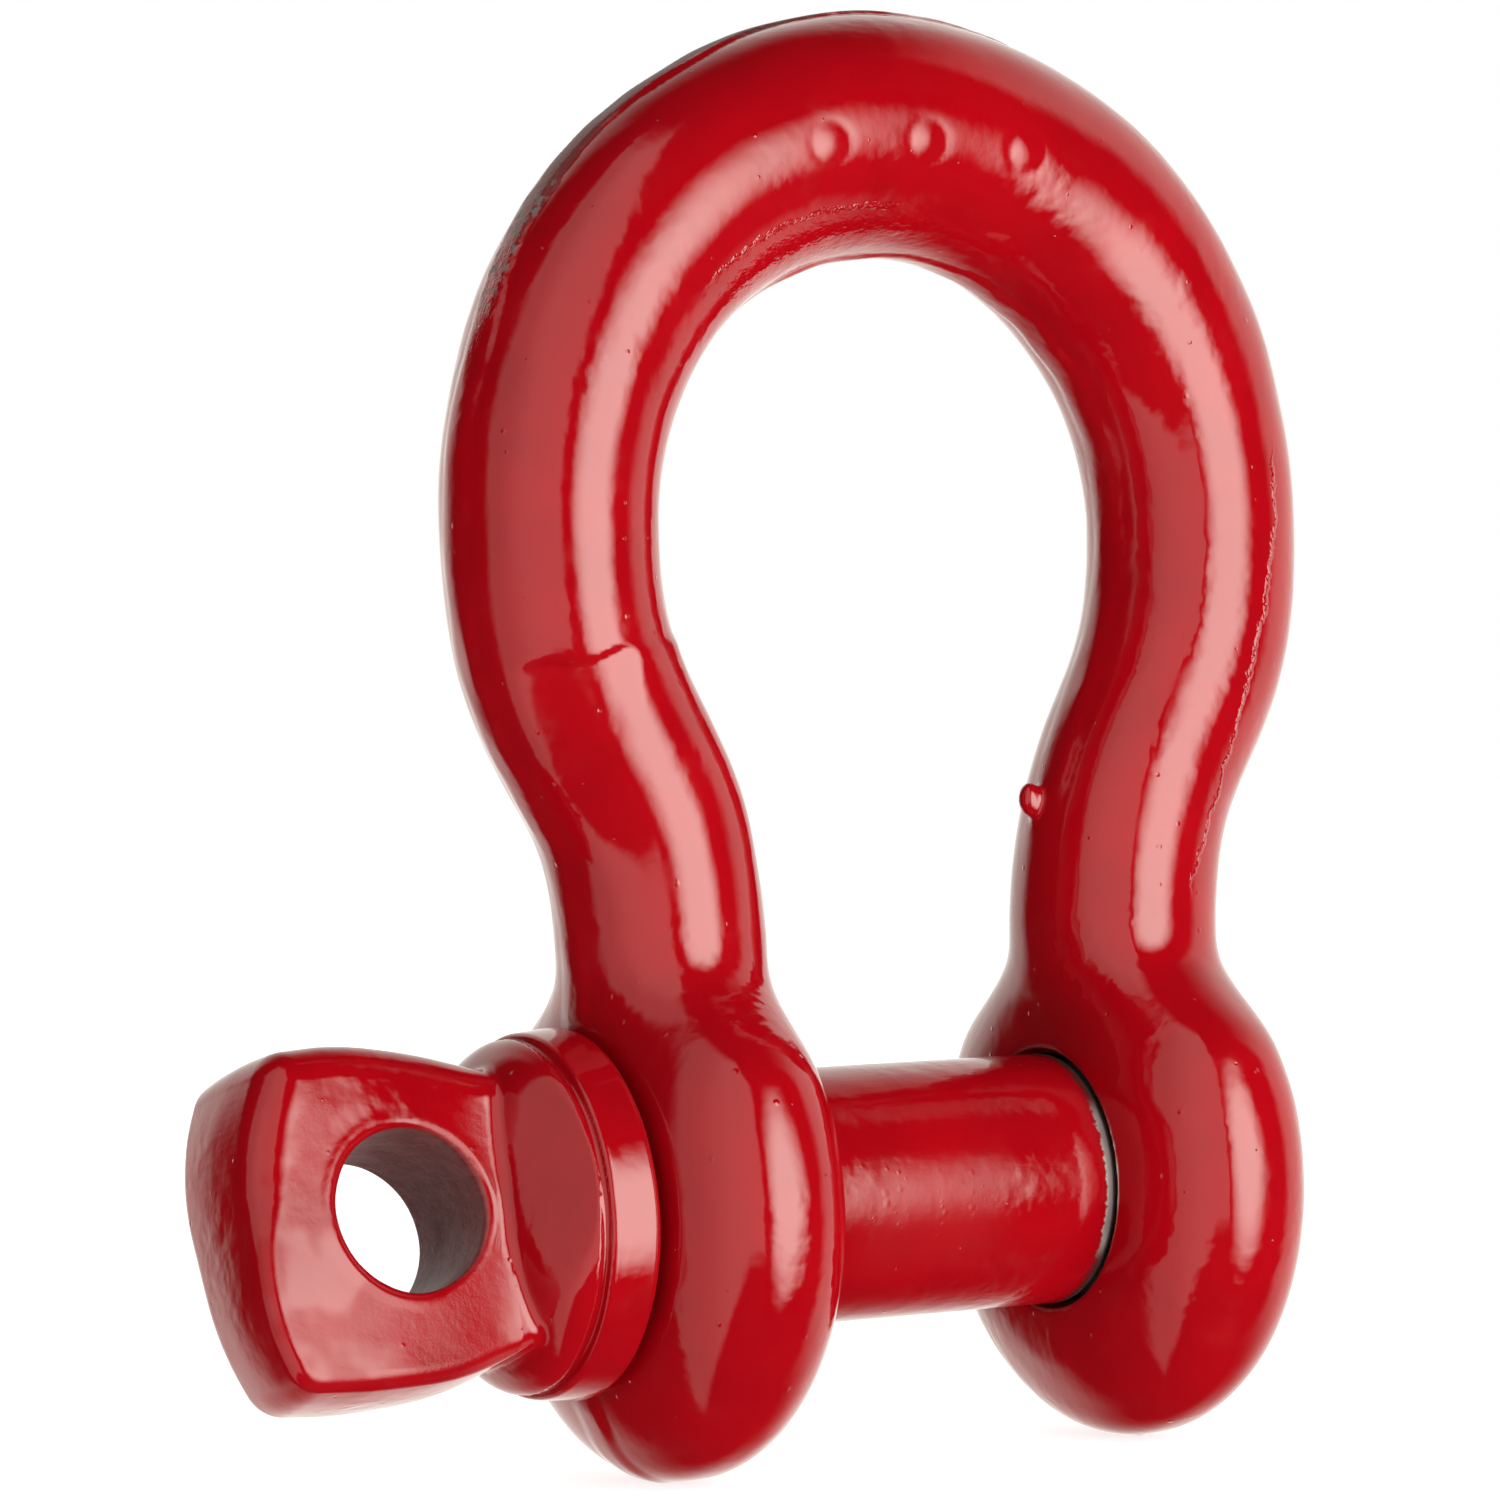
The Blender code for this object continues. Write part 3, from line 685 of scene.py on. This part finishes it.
def wear_flash(paint):
    """Trimmed flash round the outside of the crown and upper legs: dark, chipped paint."""
    x, y, z = paint.x, paint.y, paint.z
    middle = abs(y + (paint.ripple - 0.5) * 1.6).step(2.3, 1.5)
    # 1 on the ellipse round the bow's outside
    oval = (abs(x) / 46.5) ** 2.0 + ((z - 66.0) / 50.0) ** 2.0
    outer = oval.step(0.9, 0.97) * z.step(30, 60)
    paint.cover(middle * outer * z.step(88, 104), MAROON, rough=0.5)
    chips = middle * outer * (z.band(90, 102, soft=3) * x.step(-6, -16))
    chips = chips * paint.noise(1.3, detail=3, rough=0.6, seed=31).step(0.52, 0.58)
    paint.cover(chips, CHIPPED, rough=0.55, metal=0.4)
    torn = paint.noise(0.9, detail=3, rough=0.7, seed=33) * 0.14
    paint.height += middle * outer * z.step(78, 92) * torn


def wear_runs(paint):
    """Raised runs of paint on the front: down the thread-side leg, and under the crown."""
    x, y, z = paint.x, paint.y, paint.z
    wobble = (paint.noise(2.4, detail=3, rough=0.7, seed=41) - 0.5) * 2.2
    # the leg's run curves with height, a little outside the leg's centre line
    rise = paint.math("DIVIDE", z - 30.0, 38.0, clamp=True)
    line = x - (29.4 + rise * (17.4 - rise * 5.4)) - wobble
    run = abs(line).peak(0.34) * (z.band(31, 74, soft=3) * y.step(-2, -5) * x.step(10, 16))
    # distance outward from a leaning arc of radius 31.1
    arc = hypot(x, z - BELLY_Z) - 31.1 + (x * 0.16 + wobble * 0.7)
    under = abs(arc).peak(0.3) * (x.band(-26.5, -4, soft=1.5) * y.step(-3, -6)
                                  * z.step(84, 88))
    paint.height += run.max(under) * 0.12
    # drag ripple in the paint on the inner side of the arc
    sag = arc.step(0.6, -1.2) * z.step(86, 92) * (y.step(-3, -6) * x.band(-28, 4, soft=3))
    drag = paint.noise(1.9, detail=2, rough=0.6, stretch=(1, 1, 2.2), seed=44)
    paint.height += sag * (drag * 0.12)


def wear_bow(paint):
    # dark oily steel in both bores
    bore = (hypot(paint.y, paint.z).step(14.6, 13.9)
            * abs(paint.x).band(18.9, 37.4, soft=0.3))
    paint.cover(bore, BORE_DARK, rough=0.45, metal=0.1)
    wear_flash(paint)
    wear_runs(paint)


def wear_shank(paint):
    """Rubbed shank, a worn ring at its end and the bare thread."""
    x, y, z = paint.x, paint.y, paint.z
    shank = x.band(-17, 16, soft=1.0) * hypot(y, z).step(13.2, 12.9)
    patch = shank * (abs(x + 4.0).step(12, 5) * abs(z + 1.0).step(7.5, 4))
    paint.height += patch * (paint.spots(1.3, share=0.6, radius=0.34, seed=51) * 0.02)
    paint.rough += patch * 0.13
    scratches = paint.noise(0.5, detail=2, rough=0.6, stretch=(0.25, 1, 1), seed=52)
    paint.height += shank * (scratches * 0.012)
    # the ring is ragged on its -X side and shows steel at the front
    ring = (x + (paint.grain - 0.5) * 1.2).step(16.85, 17.1) * x.step(19, 18.6)
    paint.cover(ring, WORN_RED, rough=0.3, metal=0.0)
    paint.cover(ring * (z.band(-6, 7, soft=2) * y.step(2, -3)), STEEL, rough=0.34, metal=0.9)
    paint.cover(x.step(17.5, 17.9), THREAD_STEEL, rough=0.45, metal=0.7)


def wear_head(paint):
    """Dirty film of paint in the cross hole; pocks and rubs on the flats."""
    x, y, z = paint.x, paint.y, paint.z
    width = y * TURN_SIN + z * TURN_COS
    depth = z * TURN_SIN - y * TURN_COS
    bore = hypot(x - HOLE_X, width).step(8.8, 8.3) * abs(depth).step(7.9, 7.1)
    drag = paint.noise(0.9, detail=4, rough=0.7, stretch=(0.35, 0.5, 1), seed=61, distort=0.6)
    film = paint.mix(drag.step(0.3, 0.75), FILM_DARK, FILM_PALE)
    paint.cover(bore, film, rough=0.55, metal=0.0)
    paint.height += bore * (drag * 0.16)
    face = x.step(-49, -51) * abs(depth).step(6.9, 7.3)
    pocks = paint.noise(1.0, detail=4, rough=0.75, seed=71)
    area = paint.noise(7, detail=2, seed=73).step(0.45, 0.6)
    paint.height += face * area * (pocks * 0.035)
    paint.rough += face * area * 0.10
    paint.gloss = paint.lerp(face * area.step(-0.6, 1.0), GLOSS, HANDLED_GLOSS)


def wear_pin(paint):
    wear_shank(paint)
    wear_head(paint)


def enamel(name, wear):
    material = bpy.data.materials.new(name)
    material.use_nodes = True
    paint = Enamel(material.node_tree)
    wear(paint)
    paint.finish()
    return material


bow.data.materials.append(enamel("red_enamel_bow", wear_bow))
pin.data.materials.append(enamel("red_enamel_pin", wear_pin))

# ---- stage -------------------------------------------------------------------
# camera: degrees round and up from the front, roll, mm from the point it looks at
AZIMUTH, ELEVATION, ROLL, DISTANCE = -31.0, 0.27387, -1.34436, 570.51
SENSOR, FOCAL_RATIO = 36.0, 3.772758
CENTRE = Vector(((-16.448 + SHIFT[0]) * MM, 0, (45.302 + SHIFT[2]) * MM))
LIGHT_TINT = (0.98, 1.0, 0.93)
KEY_D, KEY_PHI = 0.40, math.radians(30)      # metres from the centre, turn toward image right
KEY_LEFT, KEY_RIGHT, KEY_TALL = -0.36, 0.85, 1.0       # edges of the card, in units of KEY_D

azimuth, elevation, roll = map(math.radians, (AZIMUTH, ELEVATION, ROLL))
az_cos, az_sin = math.cos(azimuth), math.sin(azimuth)
to_cam, to_right = Vector((az_sin, -az_cos, 0)), Vector((az_cos, az_sin, 0))


def link(name, data):
    made = bpy.data.objects.new(name, data)
    bpy.context.scene.collection.objects.link(made)
    return made


def build_world():
    """White to the camera; otherwise a panel by the camera and a wide one behind."""
    world = bpy.data.worlds.new("studio")
    bpy.context.scene.world = world
    world.use_nodes = True
    sky = Shader(world.node_tree)
    direction = sky.node("TexCoord", {}, "Generated")
    # degrees round from the camera's side toward image right, and degrees up
    phi = sky.math("ARCTAN2", sky.dot(direction, to_right),
                   sky.dot(direction, to_cam)) * (180 / math.pi)
    theta = sky.math("ARCSINE", sky.dot(direction, (0, 0, 1))) * (180 / math.pi)
    turned = sky.math("MODULO", phi + 360.0, 360.0)
    side = (phi.step(-80, -72) * sky.lerp(phi.step(-66, -30), 0.62, 1.0) * phi.step(9, 4)
            * ((theta - phi.min(-14.0) * 0.75).step(-10.0, -2.0)
               * (theta + phi.max(-14.0) * 1.6).step(56, 46)))
    behind = (turned.step(88, 104) * turned.step(242, 226)
              * (theta.step(-58, -22) * theta.step(66, 30)))
    light = side * 1.35 + (behind * 1.2 + 0.02)
    seen = sky.node("LightPath", {}, "Is Camera Ray")
    background = world.node_tree.nodes["Background"]
    sky.put(background.inputs[0], sky.mix(seen, (0.99, 1.0, 0.93), (1.0, 1.0, 1.0)))
    sky.put(background.inputs[1], sky.lerp(seen, light, 1.0))


def build_key():
    """Soft box close to the object, brightest in the middle, crisp on its left."""
    axis = to_cam * math.cos(KEY_PHI) + to_right * math.sin(KEY_PHI)
    across = to_right * math.cos(KEY_PHI) - to_cam * math.sin(KEY_PHI)
    middle = CENTRE + axis * KEY_D
    corners = ((KEY_LEFT, -KEY_TALL), (KEY_RIGHT, -KEY_TALL),
               (KEY_RIGHT, KEY_TALL), (KEY_LEFT, KEY_TALL))
    mesh = bpy.data.meshes.new("key_card")
    mesh.from_pydata([middle + across * (KEY_D * a) + Vector((0, 0, KEY_D * b))
                      for a, b in corners], [], [(3, 2, 1, 0)])
    card = link("key_card", mesh)

    material = bpy.data.materials.new("key_glow")
    material.use_nodes = True
    tree = material.node_tree
    tree.nodes.remove(tree.nodes["Principled BSDF"])
    glow = Shader(tree)
    place = glow.node("TexCoord", {}, "Object")
    # place on the card, in units of KEY_D from its middle
    right, high = (glow.dot(place, way / KEY_D) - middle.dot(way) / KEY_D
                   for way in (across, Vector((0, 0, 1))))
    spread = hypot((right - 0.2) * (1 / 0.64), high * (1 / 0.97))
    shape = right.step(-0.33, -0.21) * spread.step(1.0, 0.32)
    lamp = glow.node("Emission", {"Color": LIGHT_TINT, "Strength": shape * 8.5})
    glow.put(tree.nodes["Material Output"].inputs["Surface"], lamp)
    mesh.materials.append(material)
    card.visible_camera = False
    card.visible_shadow = False


def build_fill():
    """Soft light from behind, for the side away from the camera."""
    lamp = bpy.data.lights.new("back_fill", "AREA")
    lamp.size = 0.7
    lamp.energy = 7.0
    fill = link("back_fill", lamp)
    fill.location = CENTRE - to_cam * 0.95 + Vector((0, 0, 0.14))
    fill.rotation_euler = (CENTRE - fill.location).to_track_quat("-Z", "Y").to_euler()
    fill.visible_glossy = False
    fill.visible_camera = False


def build_floor():
    mesh = bpy.data.meshes.new("floor")
    mesh.from_pydata([(-4, -4, 0), (4, -4, 0), (4, 4, 0), (-4, 4, 0)], [], [(0, 1, 2, 3)])
    floor = link("floor", mesh)
    material = bpy.data.materials.new("pale_floor")
    material.use_nodes = True
    inputs = material.node_tree.nodes["Principled BSDF"].inputs
    inputs["Base Color"].default_value = (0.45, 0.45, 0.45, 1)
    inputs["Roughness"].default_value = 0.9
    inputs["Specular IOR Level"].default_value = 0.0
    inputs["Emission Color"].default_value = (1, 1, 1, 1)
    inputs["Emission Strength"].default_value = 0.82
    mesh.materials.append(material)
    floor.visible_glossy = False
    floor.visible_shadow = False


def build_camera():
    data = bpy.data.cameras.new("camera")
    camera = link("camera", data)
    data.sensor_width = SENSOR
    data.lens = SENSOR * FOCAL_RATIO
    data.clip_start, data.clip_end = 0.01, 20
    back = Vector((az_sin * math.cos(elevation), -az_cos * math.cos(elevation),
                   math.sin(elevation)))
    right = Vector((0, 0, 1)).cross(back).normalized()
    up = back.cross(right)
    rolled_right = math.cos(roll) * right + math.sin(roll) * up
    rolled_up = -math.sin(roll) * right + math.cos(roll) * up
    place = CENTRE + back * DISTANCE * MM
    columns = [vector.to_4d() for vector in (rolled_right, rolled_up, back, place)]
    for vector in columns[:3]:
        vector.w = 0
    camera.matrix_world = Matrix(columns).transposed()
    bpy.context.scene.camera = camera


bpy.context.scene.view_settings.view_transform = "Standard"
build_world()
build_key()
build_fill()
build_floor()
build_camera()
